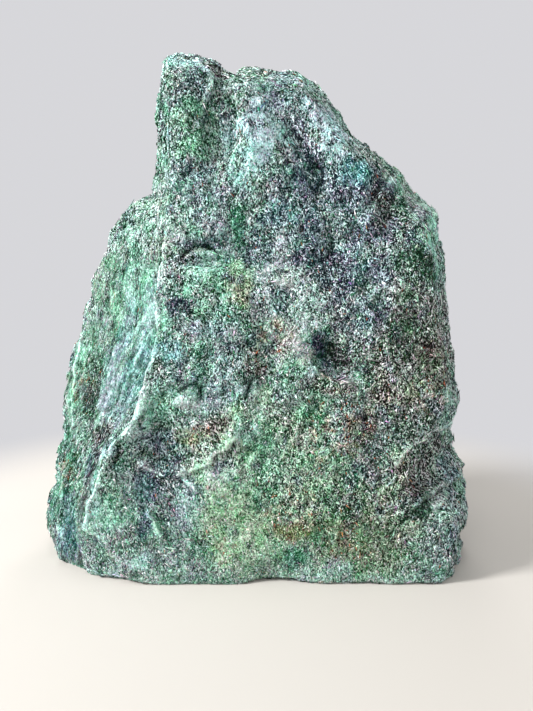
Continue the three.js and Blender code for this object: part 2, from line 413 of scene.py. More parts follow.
def line_relief(places, normals):
    """Relief of all the lines, and how sharply each place is on one of their edges.

    The sharpness is above 0 on a ridge and below 0 in a crack.
    """
    x, _, z = warp(places).T
    total, sharp = np.zeros(len(x)), np.zeros(len(x))
    for height, width, run, path in LINES:
        nearest, side = distance_to(path, x, z)
        profile = np.exp(-((nearest / width) ** 2))
        if run > 0:
            slope = np.exp(-nearest / run)
            profile = np.where(side > 0, np.maximum(profile, slope), profile)
        if path is CREST:
            height = height * smoothstep(*CREST_FADE, z)
        total += height * profile
        sharp += np.clip(height / FULL_LINE, -1, 1) * np.exp(-((nearest / EDGE_WIDTH) ** 2))
    front = front_share(normals)
    return front * total, front * np.clip(sharp, -1, 1)


def sheet_depth(places):
    """Depth through the stack of sheets, which waves gently through the stone."""
    lean = np.where(places[:, 1] < 0, FRONT_LEAN, 0.0) * places[:, 2]
    waves = fractal(places * DEEP_THROUGH, SHEET_WAVES["length"], 2, 11)
    return places[:, 1] - lean + SHEET_WAVES["height"] * waves


def edge_share(normals):
    """1 where the surface cuts across the sheets, as on the flanks, and 0 where it follows one."""
    return 1 - smoothstep(*FACE_TURN, np.abs(normals[:, 1]))


def sheet_ends(places):
    """Relief of the broken edge: each sheet's end stands in or out, with a sharp step between."""
    depth = sheet_depth(places)
    total = np.zeros(len(places))
    for seed, sheet in enumerate(SHEETS):
        wander = sheet["wander"]
        layers = depth / sheet["thick"] + SHEET_BEND * noise(places, wander, 20 + seed)
        own = layer_values(layers, 30 + seed)
        lengthwise = places * (1, 0, 1) + own[:, None] * SHEET_SPREAD
        swing = SHEET_SWING * noise(lengthwise, wander, 40 + seed)
        swing += SHEET_STEPS * plates(lengthwise, STEP_LENGTH * wander, 200 + 9 * seed)
        rise = layers - np.floor(layers)
        total += sheet["reach"] * (SHEET_OWN * own + swing + SHEET_SLOPE * (rise - 0.5))
    return total


def ledges(places):
    """Relief of the faces: low terraces with steep edges."""
    flat = places * (1, 0.25, 1)
    total = np.zeros(len(places))
    for seed, ledge in enumerate(LEDGES):
        level = LEDGE_SWELL * fractal(flat, ledge["length"], 3, 50 + seed) / ledge["step"] + 9
        rise = level - np.floor(level)
        total += ledge["step"] * (np.floor(level) + smoothstep(0.0, LEDGE_EDGE, rise) - level)
    return total


def swells(x, z):
    """How far the flank stands out or in at the places where the outline swells."""
    return sum(
        rise * np.exp(-((x - at_x) ** 2 + (z - at_z) ** 2) / radius**2)
        for at_x, at_z, radius, rise in SWELLS)


def crest_x(z):
    """Where the crest is at these heights."""
    along_x, along_z = np.array(CREST)[::-1].T
    return np.interp(z, along_z, along_x)


def flank_depth(places):
    """How far each place is to the left of the crest."""
    return crest_x(places[:, 2]) - places[:, 0]


def flank_share(places, normals):
    """1 on the silky left flank, behind the crest, and 0 elsewhere."""
    share = smoothstep(*FLANK_START, flank_depth(places)) * front_share(normals)
    return share * smoothstep(*FLANK_TOP, places[:, 2])


def flank_ribs(places):
    """Fine sharp ribs parallel to the crest."""
    x, _, z = places.T
    along = np.stack([flank_depth(places), z * RIB_STRETCH, 0 * x], 1)
    along += RIB_BEND["reach"] * noise(places, RIB_BEND["length"], 150)[:, None]
    total = np.zeros(len(places))
    for seed, rib in enumerate(RIBS):
        ridge = 1 - RIB_SLOPE * np.abs(noise(along, rib["apart"], 151 + seed))
        total += rib["height"] * np.maximum(ridge, RIB_VALLEY)
    return total


def relief(places, normals):
    """How far each corner of the smooth stone moves out along its normal, without the lines."""
    x, _, z = places.T
    edge = edge_share(normals)
    flank = flank_share(places, normals)
    warped = warp(places)
    ends = (1 - LESS_ON_FLANK["sheets"] * flank) * sheet_ends(places)
    total = edge * (ends - EDGE_TRIM + swells(x, z))
    back = smoothstep(0.0, 0.5, normals[:, 1])
    broken = (1 - edge) * (1 + BACK_LEDGES * back) * ledges(places)
    for seed, lump in enumerate(LUMPS):
        bumps = noise(places * LUMP_STRETCH, lump["length"], 70 + seed)
        broken += (1 - LESS_ON_FLANK["lumps"] * flank) * lump["height"] * bumps
    for seed, plate in enumerate(PLATES):
        steps = plates(warped * TALL, plate["size"], 130 + 9 * seed)
        broken += (1 - EDGE_PLATES_LESS * edge) * plate["height"] * steps
    return total + flank * flank_ribs(places) + roughness(places) * broken


# ---------------------------------------------------------------- colour


# Colours of the stone. They are even steps to the eye, and to this power they are amounts of light.
LINEAR = 2.2
BASE = (0.465, 0.575, 0.54)
ICE = (0.62, 0.80, 0.78)
FROST = (0.68, 0.80, 0.81)
MINT = (0.57, 0.78, 0.70)
SILVER = (0.63, 0.71, 0.70)
SAGE = (0.55, 0.68, 0.56)
LEAF = (0.43, 0.62, 0.53)
GREEN = (0.33, 0.52, 0.42)
EMERALD = (0.25, 0.45, 0.38)
DEEP = (0.17, 0.28, 0.23)
AQUA = (0.44, 0.63, 0.64)
TEAL = (0.25, 0.45, 0.47)
SLATE = (0.26, 0.36, 0.39)
NAVY = (0.145, 0.215, 0.255)
STEEL = (0.51, 0.61, 0.63)
VIOLET = (0.41, 0.47, 0.48)
BROWN = (0.35, 0.36, 0.31)
OLIVE = (0.47, 0.54, 0.39)
BLUSH = (0.61, 0.66, 0.63)
BLACK = (0.11, 0.15, 0.13)
RUST = (0.56, 0.43, 0.33)

# Soft patches of colour on the front and the flank: the middle [x, z], the half sizes along X and
# Z, the colour, how strong it is, and any turn anticlockwise. Later ones lie on top. A few are
# painted shade or painted highlight, as the comments above their rows say.
PATCHES = [
    # broad grounds: flank, upper middle, right side, lower middle
    (-50, 72, 17, 66, LEAF, 0.25, -16), (22, 116, 24, 30, SLATE, 0.55),
    (52, 74, 20, 30, BROWN, 0.6), (2, 30, 30, 34, SAGE, 0.6), (36, 24, 24, 26, OLIVE, 0.5),
    # flank
    (-37, 118, 11, 8, MINT, 0.5), (-41, 108, 3, 7, EMERALD, 0.6, -10),
    (-46, 92, 6, 16, LEAF, 0.5, -12), (-39, 99, 6, 9, MINT, 0.6, -10),
    (-34, 86, 4, 17, ICE, 0.6, -10), (-28, 88, 2, 7, MINT, 0.8), (-42, 84, 4, 14, AQUA, 0.5, -14),
    (-38, 68, 5, 15, AQUA, 0.6, -24), (-49, 66, 6, 14, STEEL, 0.6, -12),
    (-46, 54, 6, 9, STEEL, 0.8, -25), (-60, 66, 5, 20, GREEN, 0.5, -5),
    (-56, 61, 4, 15, DEEP, 0.8, -10), (-51, 44, 5, 10, BROWN, 1.0, -20),
    (-51, 43, 5, 10, NAVY, 0.65, -20), (-46.5, 43, 2, 6, ICE, 0.9, -28),
    (-52, 27, 2, 11, ICE, 0.7, -20), (-66, 60, 4, 20, LEAF, 0.9, -3), (-62, 76, 3, 5, MINT, 0.9),
    (-66, 33, 6, 12, EMERALD, 0.8), (-67, 20, 6, 8, EMERALD, 0.8), (-64, 14, 6, 14, TEAL, 0.6, -10),
    (-77, 22, 7, 13, EMERALD, 1.0), (-70, 42, 4, 12, EMERALD, 0.7, -8),
    (-57, 38, 3, 6, SLATE, 0.9, -10), (-60, 29, 3, 10, LEAF, 0.6, -10),
    (-48, 22, 5, 10, MINT, 0.7, -14),
    # tower
    # (-11, 168) is painted shade on the hump's shaded side.
    (-26, 171, 9, 5, ICE, 0.8), (-11, 168, 8, 5, DEEP, 1.0, -30), (-18, 159, 6, 11, SLATE, 0.6),
    (-20, 148, 10, 13, GREEN, 0.75), (-19, 143, 7, 6, LEAF, 0.5), (-32, 147, 6, 16, EMERALD, 1.0),
    (-34, 148, 5, 12, DEEP, 0.8), (-10, 154, 4, 10, DEEP, 0.55), (-8, 148, 3, 6, SLATE, 0.6),
    (-18, 135, 7, 4, SLATE, 0.9), (-14, 128, 17, 6, STEEL, 0.5), (2, 146, 8, 14, FROST, 1.0, -6),
    # (-1, 166) is painted shade in the notch.
    (-2, 135, 6, 8, ICE, 0.6, -20), (-6, 142, 7, 6, ICE, 0.6), (-1, 166, 7, 5, DEEP, 0.7),
    (10, 165, 9, 5, STEEL, 0.8, -15), (9, 157, 8, 6, SLATE, 0.5), (18, 153, 4, 4, FROST, 1.0),
    (11, 146, 3, 4, ICE, 0.8), (26, 146, 9, 12, FROST, 1.0, 40), (34, 145, 6, 4, SILVER, 0.6, -35),
    (14, 148, 3.5, 6, NAVY, 0.7, 20), (19, 139, 4.0, 12, NAVY, 0.8, 30), (9, 138, 4, 6, DEEP, 0.8),
    (23, 128, 6, 8, NAVY, 0.9), (16, 129, 4, 5, SLATE, 0.7), (33, 133, 7, 7, TEAL, 1.0),
    (31, 126, 7, 6, NAVY, 0.7), (45, 134, 5, 9, LEAF, 0.5, 45), (42, 125, 6, 12, NAVY, 1.0, 8),
    (43, 122, 4, 10, BLACK, 0.7, 8), (47, 116, 6, 10, DEEP, 0.9), (51, 111, 3, 6, NAVY, 0.8),
    # (60, 110) is painted highlight along the right edge.
    (55, 122, 6, 6, VIOLET, 0.6, 35), (60, 110, 4, 14, MINT, 1.0), (51, 103, 4, 8, DEEP, 0.9),
    (56, 100, 6, 7, DEEP, 1.0),
    # upper middle
    (-5, 116, 3.5, 9, EMERALD, 0.9), (2, 109, 5, 6, NAVY, 0.7), (-13, 117, 5, 6, STEEL, 0.7),
    (-19, 117, 3, 7, MINT, 0.7, -10), (-25, 115, 6, 6, SILVER, 0.6),
    # (-17, 110.5) is the painted shadow of the crack above the dome.
    (-17, 110.5, 8, 2.5, SLATE, 0.7), (8, 120, 7, 5, TEAL, 0.6), (9, 108, 3.5, 8, SILVER, 0.7),
    (17, 105, 6, 7, NAVY, 1.0), (20, 117, 5, 8, SLATE, 0.8), (28, 117, 6, 6, VIOLET, 0.6),
    (27, 97, 8, 7, NAVY, 1.0), (27, 103, 9, 8, NAVY, 1.0), (36, 110, 7, 9, SLATE, 0.9),
    (38, 119, 3, 5, NAVY, 0.8), (40, 102, 7, 6, SLATE, 0.9), (41, 115, 6, 9, NAVY, 1.0),
    # dome and what surrounds it; (-23.8, 99) is painted shade in the crack beside the dome
    (-12, 96, 13, 12, LEAF, 0.9), (-24, 99, 3, 8, EMERALD, 1.0), (-23.8, 99, 2, 6, DEEP, 0.9),
    (-18, 99, 4, 8, MINT, 0.8), (-22, 90, 5, 3, NAVY, 1.0, -10), (-9, 101, 3, 6, EMERALD, 0.4),
    (-12, 105, 6, 4, MINT, 0.6), (-5, 101, 6, 6, SAGE, 0.8), (-6, 87, 9, 4, EMERALD, 1.0, -40),
    (-3, 95, 4, 5, OLIVE, 0.7), (8, 98, 8, 6, SILVER, 1.0), (14, 97, 6, 6, BLUSH, 0.5),
    (18, 90, 6, 10, SILVER, 0.8), (10, 92, 4, 5, SLATE, 0.6), (3, 90, 5, 5, SILVER, 0.7),
    (9, 82, 6, 8, BLUSH, 0.7), (14, 75, 6, 8, BLUSH, 1.0), (34, 87, 8, 8, VIOLET, 1.0),
    (34, 87, 5, 4, SLATE, 0.8), (41, 90, 5, 6, SLATE, 0.6), (23, 79, 5, 6, SLATE, 1.0),
    (25, 76, 5, 7, NAVY, 1.0, 20),
    # left of the middle
    (-26, 75, 6, 7, AQUA, 1.0), (-16, 73, 4, 6, EMERALD, 1.0), (-14, 83, 8, 5, STEEL, 0.9, -20),
    (-8, 73, 6, 6, STEEL, 0.6), (0, 80, 3, 5, DEEP, 0.3), (1.5, 71, 2.5, 5, BLACK, 0.8, -10),
    (-11, 62, 8, 5, STEEL, 0.8, 30), (-27, 60, 9, 7, MINT, 0.6), (-20, 60, 7, 4, SILVER, 0.7),
    (-37, 49, 5, 8, MINT, 0.8, -20), (-12, 51, 6, 5, BROWN, 0.9), (-11, 38, 6, 5, SILVER, 0.6),
    # lower left
    (-31, 34, 14, 20, VIOLET, 0.7, 10), (-29, 47, 7, 4, SLATE, 0.8), (-27, 38, 6, 5, NAVY, 0.8),
    (-35, 32, 5, 4, SLATE, 0.9), (-43, 40, 3, 8, EMERALD, 0.9, -15),
    (-36, 20, 3, 7, SLATE, 0.9, 15), (-44, 24, 4, 6, LEAF, 0.5), (-31, 20, 2, 6, LEAF, 0.9, 22),
    (-36, 8, 4, 3, ICE, 0.6), (-21, 26, 6, 11, STEEL, 0.55), (-21, 12, 8, 7, VIOLET, 0.3),
    # lower middle
    (-21, 48, 6, 3, OLIVE, 0.8), (-5, 20, 15, 14, SAGE, 0.8), (5, 42, 6, 10, GREEN, 0.9, 10),
    (-3, 53, 4, 8, SAGE, 0.9, 10), (-2, 50, 4, 5, MINT, 0.8), (12, 69, 6, 6, LEAF, 0.8),
    (3, 62, 5, 5, SAGE, 0.6), (4, 29, 5, 6, GREEN, 0.8), (13, 50, 4, 9, SAGE, 0.6),
    (20, 58, 6, 6, GREEN, 0.9), (23, 41, 6, 7, GREEN, 0.7), (27, 65, 8, 5, BROWN, 0.9, -5),
    # (26, 65) is the painted shadow under the step below the pit.
    (26, 65, 6, 1.5, DEEP, 0.9, -5), (31, 37, 4, 6, EMERALD, 0.8), (32, 26, 6, 6, DEEP, 0.8),
    (24, 28, 5, 7, GREEN, 0.7), (14, 8, 5, 5, EMERALD, 0.8, 20), (12, 18, 7, 4, OLIVE, 0.9),
    (22, 16, 5, 4, GREEN, 0.6), (27, 6, 6, 4, STEEL, 0.5),
    # right side
    (36, 52, 6, 7, BROWN, 0.8), (40, 40, 5, 12, VIOLET, 0.7), (42, 64, 6, 9, BROWN, 0.9),
    (49, 86, 8, 9, DEEP, 0.35), (50, 73, 5, 6, DEEP, 0.4), (59, 75, 6, 7, BROWN, 0.7),
    (52, 62, 5, 5, OLIVE, 0.6), (73, 64, 4, 6, DEEP, 0.8), (52, 53, 9, 4, DEEP, 0.7),
    # (65, 59) is painted highlight along the right edge; (60, 43), (55, 36) and (52, 25) are painted
    # shade in the scoop.
    (65, 59, 4, 6, MINT, 0.7), (60, 43, 8, 7, DEEP, 0.8, -35), (55, 36, 8, 14, BLACK, 1.0, -35),
    (52, 25, 9, 6, DEEP, 0.9), (68, 32, 4, 9, SLATE, 0.9), (59, 14, 9, 8, VIOLET, 0.4),
    (67, 15, 4, 9, SLATE, 0.7), (78, 20, 4, 10, NAVY, 0.9),
]

# Facets with crisp edges, in rows as in PATCHES.
FACETS = [
    # pit, the plate below it and the crack under that: the pit and the crack are painted shade
    (27, 75.5, 6.5, 3.8, BLACK, 0.8, -40), (21.5, 78, 2.6, 5, NAVY, 0.8, -10),
    (26, 69, 5, 2, VIOLET, 0.8, -15), (28.5, 65, 4.5, 0.8, BLACK, 0.9, -12),
    # teal facet at the top right, and the dark one beside it
    (34, 133.5, 4.5, 6, TEAL, 0.8, 20), (41.5, 121.5, 4.5, 7, BLACK, 0.7, -20),
    # shaded side of the hump
    (-11.5, 167.5, 6, 3, BLACK, 0.9, -38),
    # cleft beside the crest, darkened as painted shade
    (-43.8, 43, 1.2, 4, DEEP, 0.9, -25),
]

# A patch or facet begins to fade, and ends, this many half sizes from its middle. Its outline
# wanders this far, over this length.
PATCH_FADE = (0.55, 1.1)
FACET_FADE = (0.75, 1.05)
PATCH_WANDER = 2.4
FACET_WANDER = 0.6
WANDER_LENGTH = 8

# How much further the colours are pushed from the lightness of BASE, lighter or darker.
SPREAD = 0.42

# From purplish to green and back every few millimetres.
HUE_SWING = (-0.036, 0.024, -0.016)
HUE_LENGTH = 4.5

# Mottling: how far it lightens and darkens rough stone, and all of it, and over what length.
ROUGH_MOTTLE = 0.08
MOTTLE = 0.07
MOTTLE_LENGTH = 6.5

# Fine streaks along the ends of the sheets: how far apart and how stretched they are.
STREAKS = [
    {"apart": 2.6, "stretch": 0.1},
    {"apart": 1.1, "stretch": 0.08},
]
STREAK_HEIGHT = 0.8
STREAK_LIGHT = 0.14

# Painted highlight and shade from the relief: what stands out from the level round it is painted
# lighter for each mm, and what lies below it darker, between these heights. So are the sharp lines,
# lighter on ridges and darker in cracks, and the flank's ribs, lighter on their tops and darker in
# their valleys.
RELIEF_PAINTED_LIGHT = 0.14
RELIEF_PAINTED_LIGHT_RANGE = (-1.0, 0.8)
LINE_PAINTED_LIGHT = 0.29
RIB_PAINTED_LIGHT = 0.20

# Dark gaps between the grains, and rusty blotches: their largest share, their length, and the level
# of the noise that they are above. The gaps change colour over the hue length.
GAPS = {"most": 0.75, "length": 3.6, "above": 0.28, "hue_length": 12}
RUST_BLUSH = {"most": 0.5, "length": 2.2, "above": 0.1}
BLOTCH_EDGE = 0.35

# Rusty areas of the front: the middle [x, z], the radius, and how rusty they are.
RUST_AREAS = [
    (7, 81, 7, 1.0), (1, 73, 5, 0.7), (28, 52, 13, 0.9), (22, 44, 6, 0.8),
    (12, 24, 12, 0.7), (58, 62, 9, 0.6), (-22, 74, 6, 0.4), (-18, 48, 6, 0.6),
    (45, 35, 12, 0.3), (30, 14, 9, 0.7), (-12, 12, 8, 0.5), (-66, 34, 8, 0.8),
    (-60, 62, 7, 0.6), (-22, 104, 5, 0.4),
]
RUST_ELSEWHERE = 0.08
RUST_SPECKS = 0.06

# Areas of the front where the stone is smooth and silky, or rough and gappy below 0: the middle
# [x, z], the radius and by how much.
SILKY_AREAS = [
    (-54, 6, 16, 0.4), (-36, 12, 24, 0.6), (-8, 14, 26, 0.6), (22, 8, 24, 0.5),
    (48, 6, 20, 0.35), (-18, 24, 18, 0.3), (14, 78, 12, 0.2), (42, 40, 16, 0.25),
    (38, 24, 10, 0.2), (-22, 168, 8, 0.2), (-38, 86, 18, 0.4), (58, 70, 22, -0.2),
    (57, 38, 14, -0.5), (70, 26, 12, -0.5), (-54, 100, 12, -0.25), (-42, 50, 8, -0.3),
]

# How much light and dark grains differ, how far that swings over what length, its limits, how much
# more it is on the broken edge, and what it is where the mica is dark, and less where it is pale.
CONTRAST = 0.85
CONTRAST_SWING = 0.55
CONTRAST_LENGTH = 16
CONTRAST_RANGE = (0.4, 1.6)
EDGE_CONTRAST_MORE = 0.2
DARK_CONTRAST = 1.75
PALE_CONTRAST_LESS = 1.4

# Colours that drift over the whole stone: where the noise is above a level, up to a largest share,
# which they have where it is as high as DRIFT_FULL. There is less of them on the front.
DRIFTS = [
    {"colour": MINT, "length": 26, "above": 0.10, "most": 0.9},
    {"colour": EMERALD, "length": 19, "above": 0.15, "most": 0.8},
    {"colour": SLATE, "length": 22, "above": 0.10, "most": 0.9},
    {"colour": OLIVE, "length": 30, "above": 0.20, "most": 0.8},
    {"colour": BROWN, "length": 24, "above": 0.25, "most": 0.8},
    {"colour": ICE, "length": 13, "above": 0.25, "most": 0.7},
    {"colour": NAVY, "length": 10, "above": 0.30, "most": 0.7},
]
DRIFT_FULL = 0.9
FRONT_DRIFTS_LESS = 0.75


def patch_share(x, z, at_x, at_z, half_x, half_z, turn=0, fade=PATCH_FADE):
    """1 in the middle of a patch and 0 outside it."""
    c, s = math.cos(math.radians(turn)), math.sin(math.radians(turn))
    off_x, off_z = x - at_x, z - at_z
    along_x = (off_x * c + off_z * s) / half_x
    along_z = (off_z * c - off_x * s) / half_z
    return 1 - smoothstep(*fade, np.hypot(along_x, along_z))


def foliation(places):
    """Fine streaks along the sheets' ends, from about -1 to 1."""
    across = sheet_depth(places)
    total = np.zeros(len(places))
    for seed, streak in enumerate(STREAKS):
        x, _, z = (places * streak["stretch"]).T
        lengthwise = np.stack([across, x, z], 1)
        total += STREAK_HEIGHT * noise(lengthwise, streak["apart"], 110 + seed)
    return total


def rust_share(places, normals):
    """How rusty the mica is, from 0 to 1."""
    x, _, z = places.T
    front = front_share(normals, 0.0)
    total = np.full(len(places), RUST_ELSEWHERE)
    for at_x, at_z, radius, share in RUST_AREAS:
        near = patch_share(x, z, at_x, at_z, radius, radius)
        total = np.maximum(total, share * near * front)
    return total


def roughness(places):
    """How rough the stone is: 1 in most places, less where it is silky."""
    x, _, z = places.T
    total = np.ones(len(places))
    for at_x, at_z, radius, share in SILKY_AREAS:
        total *= 1 - share * patch_share(x, z, at_x, at_z, radius, radius)
    return total


def contrasts(places, normals):
    """How much light and dark grains differ: from silky, as on the flank, to coarse and gappy."""
    swing = CONTRAST_SWING * fractal(places, CONTRAST_LENGTH, 2, 160)
    swing = (CONTRAST + swing) * roughness(places)
    swing = np.clip(swing, *CONTRAST_RANGE) * (1 + EDGE_CONTRAST_MORE * edge_share(normals))
    return swing * (1 - LESS_ON_FLANK["contrast"] * flank_share(places, normals))


def shade_contrast(tint_and_painted_light):
    """Grains differ more where the mica is dark than where it is pale."""
    return DARK_CONTRAST - PALE_CONTRAST_LESS * tint_and_painted_light.mean(1)


def blotches(places, length, above, seed):
    """Small separate blotches, from 0 to 1."""
    return smoothstep(above, above + BLOTCH_EDGE, fractal(places * TALLISH, length, 2, seed))


def mixed(colour, share, own):
    """The colours, with a share of another colour mixed in."""
    return colour + share[:, None] * (np.array(own) - colour)


def ground_colours(places, front):
    """The stone's colour areas: drifts all over it, and patches and facets on its front."""
    wander = np.stack([fractal(places, WANDER_LENGTH, 4, 80 + k) for k in range(3)], 1)
    colour = np.tile(np.array(BASE), (len(places), 1))
    for seed, drift in enumerate(DRIFTS):
        level = fractal(places, drift["length"], 3, 90 + seed)
        share = smoothstep(drift["above"], DRIFT_FULL, level)
        share *= drift["most"] * (1 - FRONT_DRIFTS_LESS * front)
        colour = mixed(colour, share, drift["colour"])
    # Some patches and facets are painted shade in hollows and cracks, or painted highlight on the
    # right edge.
    for areas, reach, fade in (PATCHES, PATCH_WANDER, PATCH_FADE), (FACETS, FACET_WANDER, FACET_FADE):
        x, _, z = (places + reach * wander).T
        for at_x, at_z, half_x, half_z, own, strength, *turn in areas:
            share = patch_share(x, z, at_x, at_z, half_x, half_z, *turn, fade=fade)
            colour = mixed(colour, strength * front * share, own)
    return colour


def lightness(places, normals, moved, sharp):
    """How much lighter than its colour area each place is, with painted highlight and shade."""
    flank = flank_share(places, normals)
    light = ROUGH_MOTTLE * roughness(places) * fractal(places * TALL, MOTTLE_LENGTH, 3, 100)
    light += MOTTLE * noise(places * TALLISH, MOTTLE_LENGTH, 108)
    light *= 1 - LESS_ON_FLANK["mottle"] * flank
    light += STREAK_LIGHT * edge_share(normals) * foliation(places)
    # Painted highlight and shade: what stands out, ridges and rib tops lighter, what lies low darker.
    light += RELIEF_PAINTED_LIGHT * (1 - LESS_ON_FLANK["raised"] * flank) * np.clip(moved, *RELIEF_PAINTED_LIGHT_RANGE)
    light += (LINE_PAINTED_LIGHT - LESS_ON_FLANK["lines"] * flank) * sharp
    light += RIB_PAINTED_LIGHT * flank * flank_ribs(places)
    return light


def tints_and_painted_light(places, normals, moved, sharp):
    """The mica's mean colour round each corner of the stone, with painted highlight and shade."""
    colour = ground_colours(places, front_share(normals, -0.25, 0.1))
    colour += SPREAD * (colour - BASE).mean(1)[:, None]
    colour += np.array(HUE_SWING) * noise(places * TALLISH, HUE_LENGTH, 104)[:, None]
    gaps = GAPS["most"] * np.clip(contrasts(places, normals), 0, 1)
    gaps *= blotches(places, GAPS["length"], GAPS["above"], 170)
    gap_colour = np.where(noise(places, GAPS["hue_length"], 173)[:, None] > 0.05, NAVY, DEEP)
    colour = mixed(colour, gaps, gap_colour)
    blush = RUST_BLUSH["most"] * rust_share(places, normals)
    blush *= blotches(places, RUST_BLUSH["length"], RUST_BLUSH["above"], 176)
    colour = mixed(colour, blush, RUST)
    return colour + lightness(places, normals, moved, sharp)[:, None]


# ---------------------------------------------------------------- meshes


# Rounds of averaging that give the level round each place, from which its relief is measured
# for the painted highlight and shade.
LEVEL_ROUNDS = 12

# The share of the grains' contrast that is lost on sharp lines.
LINE_CONTRAST_LESS = 0.5

# The underside, which stays flat: how far down it faces, and below which heights.
UNDERSIDE_FACING = (0.4, 0.9)
UNDERSIDE_HEIGHT = (2.0, 0.5)

# Middle [x, z] of the unrolled bake map, how far out it is even, and the share of it left free at
# each side.
BAKE_MIDDLE = (-2, 70)
BAKE_EVEN = 12
BAKE_MARGIN = 0.01


def set_colours(mesh, name, colours):
    """Gives each corner of the mesh a colour."""
    layer = mesh.color_attributes.new(name, "FLOAT_COLOR", "POINT")
    rgba = np.concatenate([colours, np.ones((len(colours), 1))], 1)
    layer.data.foreach_set("color", rgba.astype(np.float32).ravel())


def get_colours(mesh, name):
    """The colours that set_colours gave the mesh."""
    rgba = read(mesh.color_attributes[name].data, "color", 4, np.float32)
    return rgba[:, :3].astype(float)


def loop_corners(mesh):
    """Which corner of the mesh each face's corners are, face after face."""
    return read(mesh.loops, "vertex_index", kind=np.int32)


def mesh_of(name, points, triangles):
    """A mesh from places in mm and triangles."""
    mesh = bpy.data.meshes.new(name)
    mesh.vertices.add(len(points))
    mesh.loops.add(triangles.size)
    mesh.polygons.add(len(triangles))
    mesh.loops.foreach_set("vertex_index", triangles.astype(np.int32).ravel())
    mesh.polygons.foreach_set("loop_start", np.arange(0, triangles.size, 3, dtype=np.int32))
    mesh.update(calc_edges=True)
    write_places(mesh, points)
    return mesh


def set_bake_map(mesh, places):
    """Gives each face corner of the mesh its place on the map for baking."""
    layer = mesh.uv_layers.new(name="OFBake")
    layer.uv.foreach_set("vector", places.astype(np.float32).ravel())


def add_piece(name, mesh, material):
    """Adds a piece of the stone, which rides on the one body and takes the stone's finish."""
    mesh.materials.append(material)
    piece = bpy.data.objects.new(name, mesh)
    bpy.context.scene.collection.objects.link(piece)
    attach(piece, BODY)
    return piece


def carved_stone():
    """The stone's final mesh, with the colour of its mica."""
    mesh = smooth_stone()
    places, normals, edges = mesh_arrays(mesh)
    lines, sharp = line_relief(places, normals)
    amount = relief(places, normals) + lines
    level = amount[:, None]
    for _ in range(LEVEL_ROUNDS):
        level = neighbour_mean(level, edges)
    # What stands out from its level is painted lighter and what lies below darker: painted highlight
    # and shade.
    tint_and_painted_light = tints_and_painted_light(places, normals, amount - level[:, 0], sharp)
    contrast = contrasts(places, normals) * shade_contrast(tint_and_painted_light)
    contrast *= 1 - LINE_CONTRAST_LESS * np.abs(sharp)
    set_colours(mesh, "tint_and_painted_light", tint_and_painted_light)
    set_colours(mesh, "contrast", np.repeat(contrast[:, None], 3, axis=1))
    foot = smoothstep(*UNDERSIDE_FACING, -normals[:, 2])
    foot *= smoothstep(*UNDERSIDE_HEIGHT, places[:, 2])
    moved = places + normals * (amount * (1 - foot))[:, None]
    moved[:, 2] = np.maximum(moved[:, 2], 0)
    write_places(mesh, moved)
    triangles = sum(len(p.vertices) - 2 for p in mesh.polygons)
    fewer = {"ratio": min(1, STONE_TRIANGLES / triangles), "use_collapse_triangulate": True}
    final = baked_copy(mesh, "DECIMATE", fewer)
    bpy.data.meshes.remove(mesh)
    print("stone triangles", len(final.polygons), "from", triangles)
    return final


def lay_out_stone(mesh):
    """A map for baking: the front and the back half, each unrolled round its middle."""
    places, _, _ = mesh_arrays(mesh)
    at = places[loop_corners(mesh)]
    starts = read(mesh.polygons, "loop_start", kind=np.int32)
    counts = np.diff(np.append(starts, len(at)))
    middle_y = np.add.reduceat(at[:, 1], starts) / counts
    back = np.repeat(middle_y > 0, counts)
    depth = np.where(back, THICKNESS / 2 - at[:, 1], at[:, 1] + THICKNESS / 2)
    off = at[:, [0, 2]] - BAKE_MIDDLE
    far = np.linalg.norm(off, axis=1, keepdims=True) + TINY
    spread = off * (1 + np.clip(depth, 0, None)[:, None] / np.maximum(far, BAKE_EVEN))
    low, high = spread.min(0), spread.max(0)
    unit = (spread - low) / (high - low) * (1 - 2 * BAKE_MARGIN) + BAKE_MARGIN
    unit[:, 1] = (unit[:, 1] + back) / 2
    set_bake_map(mesh, unit)


# ---------------------------------------------------------------- flakes


# Pieces of loose-edged mica, each a mesh of many flakes: their typical length and width, how much
# they tilt, how far they stand out, and how strongly their shades differ.
FLAKES = [
    {"name": "mica_dust", "long": 0.40, "wide": 0.21, "tilt": 0.22, "lift": 0.05, "grain": 1.15},
    {"name": "mica_fine", "long": 0.60, "wide": 0.23, "tilt": 0.20, "lift": 0.06, "grain": 1.10},
    {"name": "mica_scales", "long": 0.92, "wide": 0.26, "tilt": 0.15, "lift": 0.06, "grain": 1.0},
    {"name": "mica_blades", "long": 1.25, "wide": 0.21, "tilt": 0.11, "lift": 0.06, "grain": 0.95},
]
FLAKE_COUNT = 49_000

# The front has this many times as many flakes for its size as the back. The underside, below this
# height, has none.
FRONT_SHARE = 1.6
NO_FLAKES_BELOW = 0.3

# A flake's outer corners as shares of its length and width, how unevenly they lie, how deep its
# root is sunk, its four sides, and how far it stays above the floor.
OUTLINE = ((0.6, 0.0), (-0.4, 0.5), (-0.4, -0.5))
OUTLINE_SCATTER = 0.18
ROOT = 0.5
SIDES = ((0, 1, 2), (1, 0, 3), (2, 1, 3), (0, 2, 3))
CORNERS = 4
FLOOR_GAP = 0.02

# How the flakes' sizes and directions scatter. On the edge and the flank they are longer, narrower
# and more alike in direction.
SIZE_SCATTER = 0.35
TURN_SCATTER = 0.65
EDGE_LONGER = 0.5
EDGE_NARROWER = 0.4
EDGE_TURN_LESS = 0.7

# On a face the mica lies near upright, and swings from side to side by these angles in radians. Its
# pull is this strong. The ends of the sheets take over as the surface turns sideways, between the
# two values of EDGE_PULL.
FACE_SWINGS = [
    {"angle": 0.8, "length": 26},
    {"angle": 0.7, "length": 5},
]
FACE_PULL = 0.6
EDGE_PULL = (0.25, 0.6)

# The crest's direction is taken between the heights this far above and below each place.
CREST_REACH = 4

